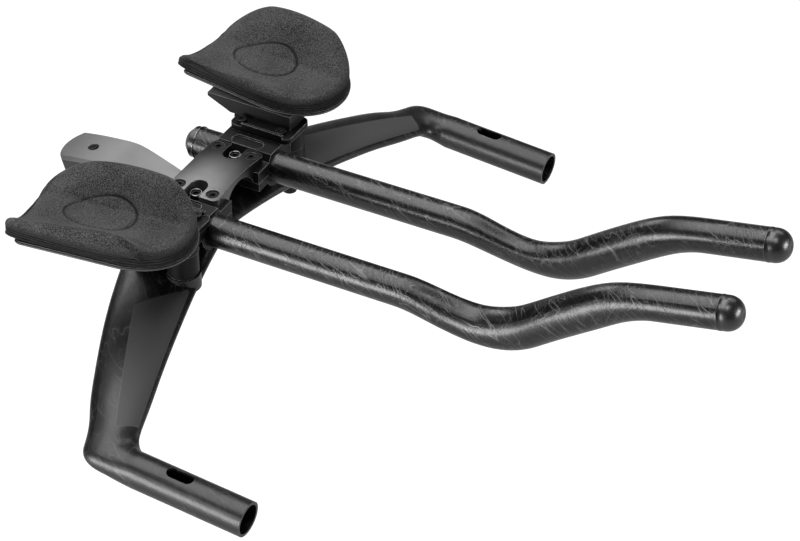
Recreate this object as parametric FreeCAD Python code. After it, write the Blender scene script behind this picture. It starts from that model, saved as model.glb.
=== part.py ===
import FreeCAD, Part
import math
import os

Vector = FreeCAD.Vector
UP = Vector(0, 0, 1)
FORWARD = Vector(0, 1, 0)
OUTWARD = Vector(1, 0, 0)

# Millimetres and degrees. +X is the rider's right, +Y points forward, +Z up.
# The origin is the bottom mouth of the steerer bore, on its axis.
# Every paired piece is drawn for the right side and mirrored.

# Steerer clamp and stem
steerer_radius = 14.3
steerer_tilt = 17.1
steerer_clamp_length = 36.0
steerer_relief = 1.2
stem_half_width = 17.4
stem_rear_reach = 22.6
stem_rear_radius = 26.0
stem_front_y = 82.0
stem_front_floor = 11.0
stem_floor_length = 20.0
stem_heel = 27.0
stem_crown = [
    (-40.0, 47.0), (-22.0, 50.5), (-1.0, 53.2), (13.0, 53.6), (24.5, 50.6), (47.0, 42.6), (72.0, 34.5),
]
pinch_slot_width = 2.5
pinch_bolt_inset = 18.4
pinch_bolt_levels = (9.0, 27.0)
pinch_bolt_half_length = 10.0

# Stem cover
cover_seam_z = 38.0
cover_wall = 2.6
cover_roof = 3.2
cover_chamfer = 2.2
cover_front_y = 58.0
cover_screw_boss_radius = 5.2
cover_screw_boss_length = 12.0
cover_screw_length = 9.0
cover_screw_head_sink = 2.4

# Base bar: flat wings from the middle to the elbows, then the elbows and the round grips
wing_root_y = 67.5
wing_root_z = 27.2
wing_root_chord = 59.0
wing_root_thickness = 19.0
wing_tip_z = -1.0
wing_tip_chord = 33.5
wing_tip_thickness = 15.4
wing_sweep_power = 1.32
wing_drop_power = 2.26
wing_steps = 6
wing_step_power = 1.4
elbow_inner_radius = 12.0
elbow_start = -69.0
elbow_corner_power = 13.0
elbow_steps = 7
elbow_settle = 1.6
grip_x = 210.0
grip_start_y = 153.5
grip_run_in = 4.0
grip_run_in_steps = 3
grip_end_y = 233.5
grip_end_z = -14.1
grip_pitch = 4.1
grip_diameter = 23.8
grip_bore_radius = 9.9
grip_bore_depth = 62.0
cable_slot_length = 19.0
cable_slot_width = 8.0
cable_slot_setback = 48.5

# Extensions
extension_x = 41.0
clamp_y = 84.0
extension_z = 51.0
extension_slope = 1.0
extension_diameter = 22.2
extension_wall = 1.8
extension_rear_y = 45.7
extension_bend_y = 246.0
extension_tip_reach = 218.5
extension_tip_rise = 65.9
extension_toe_in = 3.1
# Grip bend: reach from its start, rise, long and short size of the section, and lean of its long axis inward
extension_bend = [
    (16.0, 1.6, 22.7, 21.8, 45.0),
    (30.0, -1.0, 23.3, 20.8, 45.0),
    (44.5, -3.2, 24.1, 20.4, 45.0),
    (59.0, -3.8, 25.4, 21.3, 45.0),
    (73.0, -1.6, 27.2, 23.5, 35.0),
    (88.0, 4.4, 28.0, 24.3, 25.0),
    (101.0, 13.4, 27.6, 24.5, 20.0),
    (127.6, 32.8, 27.6, 24.5, 18.0),
    (140.6, 41.7, 27.0, 24.0, 15.0),
    (153.0, 48.9, 25.2, 23.5, 10.0),
    (166.0, 54.1, 22.9, 22.6, 5.0),
    (179.0, 57.5, 22.2, 22.2, 0.0),
]
plug_flange_length = 8.0
plug_chamfer = 4.0
plug_stub_length = 16.0
cap_skirt_length = 5.0
cap_dome_length = 9.5
cap_dome_fullness = 0.7
cap_dome_steps = 5
stub_chamfer = 1.0
cap_stub_length = 14.0
stub_clearance = 0.1

# Clamps: heights are measured from the tube axis, widths from it too
clamp_clearance = 0.1
clamp_half_gap = 0.2
clamp_half_length = 21.0
clamp_lead = 2.0
clamp_inner_reach = 23.5
clamp_outer_reach = 20.0
clamp_roof = 14.0
clamp_shelf = 9.0
clamp_shelf_width = 14.0
clamp_floor = 13.8
clamp_ear_thickness = 6.0
clamp_ear_reach = 22.5
clamp_ear_half_length = 4.4
clamp_inner_bolt_reach = 16.2
clamp_outer_bolt_reach = 18.6
clamp_inner_bolt_sink = 0.6
clamp_outer_bolt_sink = 4.6
clamp_bolt_length = 14.5
recess_length = 24.0
recess_width = 10.0
recess_depth = 1.5
recess_inset = 1.0
recess_lead = 1.0
shelf_slant = 3.0

# Risers
riser_reach = 27.5
riser_y = 85.0
riser_pitch = 30.0
riser_radius = 10.7
riser_seat_z = 33.0
riser_seat_height = 11.0
riser_seat_margin = 1.0
wing_margin = 0.5
riser_bolt_seat_z = 17.5
riser_bolt_bite = 8.5
spot_face_margin = 0.6

# Bridge plate
bridge_crown = 16.2
bridge_ear_top = 15.4
bridge_arch_rise = 12.2
bridge_leg_depth = 1.0
bridge_leg_clearance = 0.3
bridge_rear_y = 64.8
bridge_front_y = 104.4
bridge_front_hollow = 2.2
bridge_bolt_pitch = 26.2
bridge_ear_radius = 6.5
bridge_cutout_radius = 6.3
bridge_cutout_reach = 20.0
bridge_cutout_start = 3.8
bridge_corner = 5.7
bridge_bolt_recess = 0.3
bridge_bolt_sink = 3.5
bridge_bolt_length = 10.0

# Armrest base plates
base_inner_reach = 7.6
base_outer_reach = 38.0
base_rear_y = 64.5
base_front_y = 112.0
base_thickness = 4.0
base_corner = 5.0
base_lip_height = 2.6
base_lip_width = 1.8
base_lip_start_y = 74.5
base_bolt_reach = 13.2
base_bolt_rows = (71.5, 103.0)
base_bolt_length = 8.0

# Armrest cups and pads, in a frame at the middle of the pad's rear edge
armrest_x = 110.0
armrest_y = 11.0
armrest_yaw = 8.0
armrest_pitch = 0.5
armrest_half_width = 36.5
armrest_length = 115.0
armrest_rim_z = 80.0
armrest_dish = 4.0
armrest_corner = 5.0
cup_thickness = 2.6
cup_margin = 1.0
cup_rear_inset = 7.0
pad_rear_thickness = 5.0
pad_front_thickness = 12.0
pad_inner_swell = 12.0
pad_outer_swell = 20.0
pad_swell_power = 1.1
pad_wall_power = 3.0
pad_side_points = 3
pad_steps = 5
pad_seat_gap = 0.3
keel_inner_reach = 19.0
keel_width = 21.0
keel_rear_y = 41.0
keel_front_y = 107.0
keel_heel = 18.0
keel_heel_height = 8.2
cup_screw_rows = (77.0, 92.0)
cup_screw_reach = 32.0
cup_screw_grip = 4.0
cup_screw_length = 8.0

# Fasteners
m5_radius = 2.5
m5_head_radius = 4.25
m5_head_height = 3.6
m5_low_head_radius = 3.65
m5_low_head_height = 2.8
m4_radius = 2.0
m4_head_radius = 3.5
m4_head_height = 3.0
m6_radius = 3.0
m6_head_radius = 5.0
m6_head_height = 6.0
hole_clearance = 0.25
head_clearance = 0.35
socket_share = 0.55
thread_end_room = 0.5

# A length beyond any piece, for cuts that run right through
far = 200.0

section_points = 8


def add(point, direction, distance):
    return point + direction * distance


def mirrored(shape):
    return shape.mirror(Vector(0, 0, 0), OUTWARD)


def cylinder(base, direction, radius, length):
    return Part.makeCylinder(radius, length, base, direction)


def block(low, high):
    size = high - low
    return Part.makeBox(size.x, size.y, size.z, low)


def prism(points, sweep):
    outline = Part.makePolygon(points + [points[0]])
    return Part.Face(outline).extrude(sweep)


def stadium(centre, along, length, radius, height):
    ends = [add(centre, along, -length / 2), add(centre, along, length / 2)]
    side = UP.cross(along) * radius
    corners = [ends[0] - side, ends[1] - side, ends[1] + side, ends[0] + side]
    body = prism(corners, UP * height)
    for end in ends:
        body = body.fuse(cylinder(end, UP, radius, height))
    return body.removeSplitter()


def edges_where(shape, test):
    return [edge for edge in shape.Edges if test(edge.CenterOfMass, edge)]


def bolt(seat, direction, radius, head_radius, head_height, length):
    """A socket head bolt whose head sits on the seat; direction points from the shank to the head."""
    head = cylinder(seat, direction, head_radius, head_height)
    shank = cylinder(seat, direction * -1, radius, length)
    across = Vector(direction.y, direction.z, direction.x)
    side = direction.cross(across).normalize()
    other = direction.cross(side)
    socket_radius = head_radius * socket_share
    rim = add(seat, direction, head_height)
    corners = []
    for index in range(6):
        angle = math.radians(60 * index)
        corners.append(rim + side * socket_radius * math.cos(angle) + other * socket_radius * math.sin(angle))
    socket = prism(corners, direction * (-head_height / 2))
    return head.fuse(shank).removeSplitter().cut(socket)


def curve_through(points, places):
    """A smooth curve that passes each point at its place along the curve."""
    curve = Part.BSplineCurve()
    curve.interpolate(Points=list(points), Parameters=list(places))
    return curve


def ring_middle(ring):
    total = Vector(0, 0, 0)
    for point in ring:
        total = total + point
    return total * (1 / len(ring))


def ring_curve(ring):
    """The smooth closed curve through a ring of points that are evenly spread on an ellipse."""
    middle = ring_middle(ring)
    reach = 3 / (2 + math.cos(2 * math.pi / len(ring)))
    poles = [middle + (point - middle) * reach for point in ring]
    knots = [index / len(ring) for index in range(len(ring) + 1)]
    curve = Part.BSplineCurve()
    curve.buildFromPolesMultsKnots(poles, [1] * len(knots), knots, True, 3)
    return curve


def running_distances(points):
    distances = [0.0]
    for here, there in zip(points, points[1:]):
        distances.append(distances[-1] + (there - here).Length)
    return distances


def poles_across(lines):
    return zip(*[line.getPoles() for line in lines])


def net_surface(lines, rows, closed):
    """The smooth surface whose lengthwise lines have their poles passed by the crosswise rows."""
    surface = Part.BSplineSurface()
    row = rows[0]
    line = lines[0]
    poles = [list(column) for column in poles_across(rows)]
    surface.buildFromPolesMultsKnots(poles, row.getMultiplicities(), line.getMultiplicities(), row.getKnots(),
                                     line.getKnots(), closed, False, row.Degree, line.Degree)
    return surface.toShape()


def skin(rings):
    """A solid whose side runs smoothly through rings of points in order, closed by flat ends."""
    places = running_distances([ring_middle(ring) for ring in rings])
    lines = [curve_through(points, places) for points in zip(*rings)]
    rows = [ring_curve(poles) for poles in poles_across(lines)]
    side = net_surface(lines, rows, True)
    ends = [Part.Face(Part.Wire(edge)) for edge in side.Edges if edge.isClosed()]
    shell = Part.makeShell([side] + ends)
    shell.sewShape()
    return Part.makeSolid(shell)


def straight_run(ring, other_ring):
    wires = [Part.Wire(ring_curve(points).toShape()) for points in (ring, other_ring)]
    return Part.makeLoft(wires, True, True)


def oval(centre, across, up, half_across, half_up, lean=0):
    """A ring of points on an ellipse; a lean tips its rise from up away from the across direction."""
    turn = math.radians(lean)
    side = across * math.cos(turn) + up * math.sin(turn)
    rise = up * math.cos(turn) - across * math.sin(turn)
    points = []
    for index in range(section_points):
        angle = 2 * math.pi * index / section_points - turn
        points.append(centre + side * (half_across * math.cos(angle)) + rise * (half_up * math.sin(angle)))
    return points


# Directions and places that several pieces share
tilt = math.radians(steerer_tilt)
steerer_up = Vector(0, -math.sin(tilt), math.cos(tilt))
steerer_back = Vector(0, -math.cos(tilt), -math.sin(tilt))
grip_angle = math.radians(grip_pitch)
grip_forward = Vector(0, math.cos(grip_angle), -math.sin(grip_angle))
grip_up = OUTWARD.cross(grip_forward)
grip_end = Vector(grip_x, grip_end_y, grip_end_z)
grip_start = grip_end + grip_forward * ((grip_start_y - grip_end_y) / math.cos(grip_angle))
elbow_pivot = Vector(grip_x - grip_diameter / 2 - elbow_inner_radius, grip_start_y, 0)
slope = math.radians(extension_slope)
tube_forward = Vector(0, math.cos(slope), math.sin(slope))
tube_centre = Vector(extension_x, clamp_y, extension_z)
tube_radius = extension_diameter / 2
clamp_roof_z = extension_z + clamp_roof
clamp_shelf_z = extension_z + clamp_shelf
riser_x = extension_x + riser_reach
riser_rows = (riser_y - riser_pitch / 2, riser_y + riser_pitch / 2)
riser_top_z = extension_z + clamp_half_gap
inner_bolt_x = extension_x - clamp_inner_bolt_reach
outer_bolt_x = extension_x + clamp_outer_bolt_reach
bridge_bolt_rows = (clamp_y - bridge_bolt_pitch / 2, clamp_y + bridge_bolt_pitch / 2)
base_top_z = clamp_roof_z + base_thickness


def on_tube(y):
    return add(tube_centre, tube_forward, (y - clamp_y) / math.cos(slope))


def hole(x, y, z_low, z_high, radius):
    return cylinder(Vector(x, y, z_low), UP, radius + hole_clearance, z_high - z_low)


def counterbore(x, y, z_seat, z_open, head_radius):
    return cylinder(Vector(x, y, z_seat), UP, head_radius + head_clearance, z_open - z_seat)


def elbow_section(share):
    """A section through the elbow's inner corner that ends where the outer edges of wing and grip meet."""
    angle = elbow_start * (1 - share)
    wing_edge = (elbow_inner_radius + wing_tip_chord) / math.cos(math.radians(angle - elbow_start))
    grip_edge = (elbow_inner_radius + grip_diameter) / math.cos(math.radians(angle))
    power = elbow_corner_power
    width = (wing_edge ** -power + grip_edge ** -power) ** (-1 / power) - elbow_inner_radius
    spoke = Vector(math.cos(math.radians(angle)), math.sin(math.radians(angle)), 0)
    centre = add(elbow_pivot, spoke, elbow_inner_radius + width / 2)
    centre.z = grip_start.z + (wing_tip_z - grip_start.z) * (1 - share) ** elbow_settle
    height = wing_tip_thickness + (grip_diameter - wing_tip_thickness) * share
    return centre, oval(centre, spoke, UP, width / 2, height / 2)


def grip_section(centre):
    return oval(centre, OUTWARD, grip_up, grip_diameter / 2, grip_diameter / 2)


def with_riser_seat(wing, y):
    """The wing with a flat round seat for a riser, its bolt hole and a spot face below."""
    top = Vector(riser_x, y, riser_seat_z)
    radius = riser_radius + riser_seat_margin
    wing = wing.fuse(cylinder(top, UP * -1, radius, riser_seat_height))
    wing = wing.cut(cylinder(top, UP, radius, riser_seat_height))
    wing = wing.cut(hole(riser_x, y, 0, extension_z, m6_radius))
    return wing.cut(cylinder(Vector(riser_x, y, 0), UP, m6_head_radius + spot_face_margin, riser_bolt_seat_z))


def wing_half():
    """One side of the bar: flat sections that sweep and drop, turn the elbow and end as the round grip."""
    tip, tip_section = elbow_section(0)
    sections = []
    for index in range(wing_steps):
        share = 1 - (1 - index / wing_steps) ** wing_step_power
        sweep = tip.y - wing_root_y
        centre = Vector(
            tip.x * share,
            wing_root_y + sweep * share ** wing_sweep_power,
            wing_root_z + (wing_tip_z - wing_root_z) * share ** wing_drop_power,
        )
        heading = Vector(tip.x, sweep * wing_sweep_power * share ** (wing_sweep_power - 1), 0).normalize()
        chord = wing_root_chord + (wing_tip_chord - wing_root_chord) * share ** 2
        thickness = wing_tip_thickness + (wing_root_thickness - wing_tip_thickness) * (1 - share) ** 2
        sections.append(oval(centre, heading.cross(UP), UP, chord / 2, thickness / 2))
    sections.append(tip_section)
    for index in range(1, elbow_steps):
        sections.append(elbow_section(index / elbow_steps)[1])
    for step in range(grip_run_in_steps + 1):
        sections.append(grip_section(add(grip_start, grip_forward, grip_run_in * step)))
    wing = skin(sections).fuse(straight_run(sections[-1], grip_section(grip_end)))
    for y in riser_rows:
        wing = with_riser_seat(wing, y)
    return wing


def stem_profile(drop):
    """Side view of the stem as a face on the middle plane, with its crown lowered by drop."""
    crown = Part.BSplineCurve()
    crown.interpolate([Vector(0, y, z - drop) for y, z in stem_crown])
    back_foot = steerer_back * stem_heel
    front_foot = steerer_back * -stem_rear_reach
    corners = [
        crown.EndPoint,
        Vector(0, stem_front_y, stem_front_floor),
        Vector(0, stem_front_y - stem_floor_length, stem_front_floor),
        front_foot,
        back_foot,
        crown.StartPoint,
    ]
    lines = [Part.LineSegment(a, b).toShape() for a, b in zip(corners, corners[1:])]
    return Part.Face(Part.Wire([crown.toShape()] + lines))


def stem_envelope(inset, drop):
    """The stem's outer form, set in by inset at the sides and back and by drop at the crown."""
    half_width = stem_half_width - inset
    side_view = stem_profile(drop)
    side_view.translate(Vector(-half_width, 0, 0))
    slab = side_view.extrude(Vector(2 * half_width, 0, 0))
    round_centre = steerer_back * (stem_rear_reach - stem_rear_radius)
    rounded = cylinder(add(round_centre, steerer_up, -far), steerer_up, stem_rear_radius - inset, 2 * far)
    ahead = block(Vector(-far, 0, -far), Vector(far, far, far))
    ahead.rotate(Vector(0, 0, 0), OUTWARD, steerer_tilt)
    return slab.common(rounded.fuse(ahead))


def steerer_point(height, back):
    return steerer_up * height + steerer_back * back


def base_bar():
    wing = wing_half()
    body = wing.fuse(mirrored(wing))
    below_seam = block(Vector(-far, -far, -far), Vector(far, stem_front_y, cover_seam_z))
    body = body.fuse(stem_envelope(0, 0).common(below_seam)).removeSplitter()
    body = body.cut(cylinder(steerer_up * -far, steerer_up, steerer_radius, steerer_clamp_length + far))
    relief_start = steerer_up * steerer_clamp_length
    body = body.cut(cylinder(relief_start, steerer_up, steerer_radius + steerer_relief, far))
    half_slot = pinch_slot_width / 2
    slot = block(Vector(-half_slot, -far, -far), Vector(half_slot, -steerer_radius / 2, far))
    slot.rotate(Vector(0, 0, 0), OUTWARD, steerer_tilt)
    body = body.cut(slot)
    for level in pinch_bolt_levels:
        seat = steerer_point(level, pinch_bolt_inset) + OUTWARD * pinch_bolt_half_length
        body = body.cut(cylinder(seat, OUTWARD, m4_head_radius + head_clearance, stem_half_width))
        shank_start = seat - OUTWARD * (2 * pinch_bolt_half_length)
        length = 2 * pinch_bolt_half_length
        body = body.cut(cylinder(shank_start, OUTWARD, m4_radius + hole_clearance, length))
    for side in (1, -1):
        mouth = Vector(side * grip_end.x, grip_end.y, grip_end.z)
        bore_floor = add(mouth, grip_forward, -grip_bore_depth)
        body = body.cut(cylinder(bore_floor, grip_forward, grip_bore_radius, far))
        middle = add(mouth, grip_forward, -cable_slot_setback)
        straight = cable_slot_length - cable_slot_width
        body = body.cut(stadium(middle, FORWARD, straight, cable_slot_width / 2, grip_diameter))
    return body


def stem_cover():
    above_seam = block(Vector(-far, -far, cover_seam_z), Vector(far, cover_front_y, far))
    lid = stem_envelope(0, 0).common(above_seam)
    top_edges = edges_where(lid, lambda centre, edge: abs(centre.x) > stem_half_width - 0.1
                            and centre.z > cover_seam_z + 2 and edge.BoundBox.YLength > stem_half_width)
    lid = lid.makeChamfer(cover_chamfer, top_edges)
    pocket = stem_envelope(cover_wall, cover_roof).common(above_seam)
    boss = cylinder(steerer_point(steerer_clamp_length, 0), steerer_up, cover_screw_boss_radius, far)
    lid = lid.cut(pocket.cut(boss))
    top = cover_screw_seat()
    lid = lid.cut(cylinder(top, steerer_up, m4_head_radius + head_clearance, far))
    return lid.cut(cylinder(add(top, steerer_up, -far), steerer_up, m4_radius + hole_clearance, 2 * far))


def cover_screw_seat():
    return steerer_point(cover_seam_z / math.cos(tilt) + cover_screw_boss_length, 0)


def cover_screw():
    seat = cover_screw_seat()
    return bolt(seat, steerer_up, m4_radius, m4_head_radius, cover_screw_head_sink, cover_screw_length)


def steerer_clamp_bolts():
    bolts = []
    for level in pinch_bolt_levels:
        seat = steerer_point(level, pinch_bolt_inset) + OUTWARD * pinch_bolt_half_length
        length = 2 * pinch_bolt_half_length
        bolts.append(bolt(seat, OUTWARD, m4_radius, m4_head_radius, m4_head_height, length))
    return Part.makeCompound(bolts)


def on_bend(reach, rise):
    aside = extension_toe_in * reach / extension_tip_reach
    return Vector(extension_x - aside, extension_bend_y + reach, extension_z + rise)


def extension_tip():
    return on_bend(extension_tip_reach, extension_tip_rise)


def tip_forward():
    last_reach, last_rise = extension_bend[-1][:2]
    return (extension_tip() - on_bend(last_reach, last_rise)).normalize()


def tube_ring(centre, heading, long_size, short_size, lean):
    across = heading.cross(UP).normalize()
    return oval(centre, across, across.cross(heading), short_size / 2, long_size / 2, lean)


def extension():
    """The tube: a straight run, the bend and a straight tip, bored at both ends for the plug and the cap."""
    size = extension_diameter
    bend_start = on_tube(extension_bend_y)
    points = [bend_start] + [on_bend(reach, rise) for reach, rise, *section in extension_bend]
    rings = [tube_ring(bend_start, tube_forward, size, size, 0)]
    for index, (reach, rise, long_size, short_size, lean) in enumerate(extension_bend[:-1], 1):
        heading = (points[index + 1] - points[index - 1]).normalize()
        rings.append(tube_ring(points[index], heading, long_size, short_size, lean))
    rings.append(tube_ring(points[-1], tip_forward(), size, size, 0))
    rear = on_tube(extension_rear_y)
    rear_ring = tube_ring(rear, tube_forward, size, size, 0)
    tip_ring = tube_ring(extension_tip(), tip_forward(), size, size, 0)
    form = skin(rings).fuse(straight_run(rear_ring, rings[0])).fuse(straight_run(rings[-1], tip_ring))
    bore = tube_radius - extension_wall
    form = form.cut(cylinder(rear, tube_forward, bore, (bend_start - rear).Length))
    tip_length = (extension_tip() - points[-1]).Length
    return form.cut(cylinder(extension_tip(), tip_forward() * -1, bore, tip_length))


def turned(profile, base, direction):
    """Revolve a profile of (radius, distance) points about the direction through the base point."""
    points = [Vector(radius, 0, distance) for radius, distance in profile]
    face = Part.Face(Part.makePolygon(points + [points[0]]))
    solid = face.revolve(Vector(0, 0, 0), UP, 360)
    solid.Placement = FreeCAD.Placement(base, FreeCAD.Rotation(UP, direction))
    return solid


def rear_plug():
    stub = tube_radius - extension_wall - stub_clearance
    end = plug_flange_length
    profile = [
        (0, -plug_stub_length), (stub - stub_chamfer, -plug_stub_length),
        (stub, stub_chamfer - plug_stub_length), (stub, 0),
        (tube_radius, 0), (tube_radius, end - plug_chamfer), (tube_radius - plug_chamfer, end), (0, end),
    ]
    return turned(profile, on_tube(extension_rear_y), tube_forward * -1)


def front_cap():
    stub = tube_radius - extension_wall - stub_clearance
    profile = [
        (0, -cap_stub_length), (stub - stub_chamfer, -cap_stub_length), (stub, stub_chamfer - cap_stub_length),
        (stub, 0), (tube_radius, 0),
    ]
    for index in range(cap_dome_steps):
        angle = math.pi / 2 * index / cap_dome_steps
        radius = tube_radius * math.cos(angle) ** cap_dome_fullness
        profile.append((radius, cap_skirt_length + cap_dome_length * math.sin(angle)))
    profile.append((0, cap_skirt_length + cap_dome_length))
    return turned(profile, extension_tip(), tip_forward())


def clamp_bore():
    return cylinder(on_tube(0), tube_forward, tube_radius + clamp_clearance, extension_bend_y)


def clamp_upper():
    low = extension_z + clamp_half_gap
    inner = extension_x - clamp_inner_reach
    outer = extension_x + clamp_outer_reach
    shelf_end = inner + clamp_shelf_width
    outline = [(inner, low), (inner, clamp_shelf_z), (shelf_end, clamp_shelf_z),
               (shelf_end + shelf_slant, clamp_roof_z), (outer, clamp_roof_z), (outer, low)]
    rear = clamp_y + clamp_lead - clamp_half_length
    body = prism([Vector(x, rear, z) for x, z in outline], FORWARD * (2 * clamp_half_length))
    wing_foot = Vector(riser_x, riser_y, low)
    wing = stadium(wing_foot, FORWARD, riser_pitch, riser_radius + wing_margin, clamp_roof_z - low)
    body = body.fuse(wing).removeSplitter()
    body = body.cut(clamp_bore())
    recess_floor = Vector(extension_x - recess_inset, clamp_y + recess_lead, clamp_roof_z - recess_depth)
    straight = recess_length - recess_width
    body = body.cut(stadium(recess_floor, FORWARD, straight, recess_width / 2, recess_depth + 1))
    seat = clamp_shelf_z - clamp_inner_bolt_sink
    body = body.cut(counterbore(inner_bolt_x, clamp_y, seat, clamp_roof_z, m5_head_radius))
    body = body.cut(hole(inner_bolt_x, clamp_y, low, seat, m5_radius))
    seat = clamp_roof_z - clamp_outer_bolt_sink
    body = body.cut(counterbore(outer_bolt_x, clamp_y, seat, clamp_roof_z + 1, m5_head_radius))
    body = body.cut(hole(outer_bolt_x, clamp_y, low, seat, m5_radius))
    for y in bridge_bolt_rows:
        tip = extension_z + bridge_ear_top - bridge_bolt_sink - bridge_bolt_length
        body = body.cut(hole(inner_bolt_x, y, tip - thread_end_room, clamp_shelf_z + 1, m5_radius))
    for y in base_bolt_rows:
        tip = base_top_z - base_bolt_length - thread_end_room
        body = body.cut(hole(extension_x + base_bolt_reach, y, tip, clamp_roof_z + 1, m5_radius))
    for y in riser_rows:
        body = body.cut(hole(riser_x, y, low - 1, riser_top_z + riser_bolt_bite + thread_end_room, m6_radius))
    return body


def clamp_lower():
    """The lower clamp half: a round saddle under the tube with an ear on each side for the bolts."""
    high = extension_z - clamp_half_gap
    inner = extension_x - clamp_inner_reach
    rear = clamp_y + clamp_lead - clamp_half_length
    front = clamp_y + clamp_lead + clamp_half_length
    below = block(Vector(-far, rear, -far), Vector(far, front, high))
    body = cylinder(on_tube(0), tube_forward, clamp_floor, extension_bend_y).common(below)
    body = body.fuse(block(Vector(inner, rear, high - clamp_ear_thickness), Vector(extension_x, front, high)))
    ear = block(Vector(extension_x, clamp_y - clamp_ear_half_length, high - clamp_ear_thickness),
                Vector(extension_x + clamp_ear_reach, clamp_y + clamp_ear_half_length, high))
    body = body.fuse(ear).removeSplitter().cut(clamp_bore())
    for x in (inner_bolt_x, outer_bolt_x):
        body = body.cut(hole(x, clamp_y, high - clamp_ear_thickness - 1, high + 1, m5_radius))
    return body


def clamp_bolts():
    inner = Vector(inner_bolt_x, clamp_y, clamp_shelf_z - clamp_inner_bolt_sink)
    outer = Vector(outer_bolt_x, clamp_y, clamp_roof_z - clamp_outer_bolt_sink)
    pair = []
    for seat in (inner, outer):
        pair.append(bolt(seat, UP, m5_radius, m5_head_radius, m5_head_height, clamp_bolt_length))
    return Part.makeCompound(pair + [mirrored(one) for one in pair])


def riser(y):
    post = cylinder(Vector(riser_x, y, riser_seat_z), UP, riser_radius, riser_top_z - riser_seat_z)
    return post.cut(hole(riser_x, y, riser_seat_z, riser_top_z, m6_radius))


def riser_bolts():
    length = riser_top_z + riser_bolt_bite - riser_bolt_seat_z
    bolts = []
    for x in (riser_x, -riser_x):
        for y in riser_rows:
            seat = Vector(x, y, riser_bolt_seat_z)
            bolts.append(bolt(seat, UP * -1, m6_radius, m6_head_radius, m6_head_height, length))
    return Part.makeCompound(bolts)


def bridge_plate():
    ear_end = inner_bolt_x + bridge_ear_radius
    leg = extension_x - clamp_inner_reach - bridge_leg_clearance
    ear_top = extension_z + bridge_ear_top
    leg_foot = extension_z + bridge_leg_depth
    crown = Vector(0, 0, extension_z + bridge_crown)
    arch_crown = Vector(0, 0, extension_z + bridge_arch_rise)
    top = Part.Arc(Vector(-ear_end, 0, ear_top), crown, Vector(ear_end, 0, ear_top))
    arch = Part.Arc(Vector(leg, 0, leg_foot), arch_crown, Vector(-leg, 0, leg_foot))
    right = [Vector(ear_end, 0, ear_top), Vector(ear_end, 0, clamp_shelf_z), Vector(leg, 0, clamp_shelf_z),
             Vector(leg, 0, leg_foot)]
    left = [Vector(-point.x, 0, point.z) for point in reversed(right)]
    lines = [Part.LineSegment(a, b).toShape() for a, b in zip(right, right[1:])]
    lines_left = [Part.LineSegment(a, b).toShape() for a, b in zip(left, left[1:])]
    outline = Part.Wire([top.toShape()] + lines + [arch.toShape()] + lines_left)
    plate = Part.Face(outline).extrude(FORWARD * (bridge_front_y - bridge_rear_y))
    plate.translate(FORWARD * bridge_rear_y)
    corners = edges_where(plate, lambda c, e: abs(c.x) > ear_end - 0.1 and e.BoundBox.ZLength > 2)
    plate = plate.makeFillet(bridge_corner, corners)
    hollow_radius = (ear_end ** 2 + bridge_front_hollow ** 2) / (2 * bridge_front_hollow)
    hollow_centre = Vector(0, bridge_front_y - bridge_front_hollow + hollow_radius, 0)
    plate = plate.cut(cylinder(hollow_centre, UP, hollow_radius, far))
    for side in (1, -1):
        reach = bridge_cutout_reach
        middle = Vector(side * (inner_bolt_x - bridge_cutout_start + reach / 2), clamp_y, 0)
        plate = plate.cut(stadium(middle, OUTWARD, reach, bridge_cutout_radius, far))
        for y in bridge_bolt_rows:
            seat = ear_top - bridge_bolt_sink
            plate = plate.cut(counterbore(side * inner_bolt_x, y, seat, ear_top + 5, m5_head_radius))
            plate = plate.cut(hole(side * inner_bolt_x, y, clamp_shelf_z - 1, seat, m5_radius))
    return plate


def bridge_bolts():
    bolts = []
    for x in (inner_bolt_x, -inner_bolt_x):
        for y in bridge_bolt_rows:
            seat = Vector(x, y, extension_z + bridge_ear_top - bridge_bolt_sink)
            head = bridge_bolt_sink - bridge_bolt_recess
            bolts.append(bolt(seat, UP, m5_radius, m5_head_radius, head, bridge_bolt_length))
    return Part.makeCompound(bolts)


def armrest_base():
    inner = extension_x + base_inner_reach
    outer = extension_x + base_outer_reach
    plate = block(Vector(inner, base_rear_y, clamp_roof_z), Vector(outer, base_front_y, base_top_z))
    corners = edges_where(plate, lambda centre, edge: edge.BoundBox.ZLength > base_thickness - 0.1)
    plate = plate.makeFillet(base_corner, corners)
    lip = block(Vector(inner, base_lip_start_y, base_top_z),
                Vector(inner + base_lip_width, base_front_y - base_corner, base_top_z + base_lip_height))
    plate = plate.fuse(lip).removeSplitter()
    for y in base_bolt_rows:
        plate = plate.cut(hole(extension_x + base_bolt_reach, y, clamp_roof_z - 1, base_top_z + 1, m5_radius))
    for y in cup_screw_rows:
        plate = plate.cut(hole(extension_x + cup_screw_reach, y, clamp_roof_z - 1, base_top_z + 1, m4_radius))
    return plate


def armrest_base_bolts():
    bolts = []
    for y in base_bolt_rows:
        seat = Vector(extension_x + base_bolt_reach, y, base_top_z)
        bolts.append(bolt(seat, UP, m5_radius, m5_low_head_radius, m5_low_head_height, base_bolt_length))
    return Part.makeCompound(bolts + [mirrored(one) for one in bolts])


def armrest_place(shape):
    turn = FreeCAD.Rotation(UP, armrest_yaw).multiply(FreeCAD.Rotation(OUTWARD, -armrest_pitch))
    rear = Vector(0, 0, armrest_rim_z)
    shape.translate(rear * -1)
    place = FreeCAD.Placement(Vector(armrest_x, armrest_y, 0) + rear, turn)
    shape.Placement = place.multiply(shape.Placement)
    return shape


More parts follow.
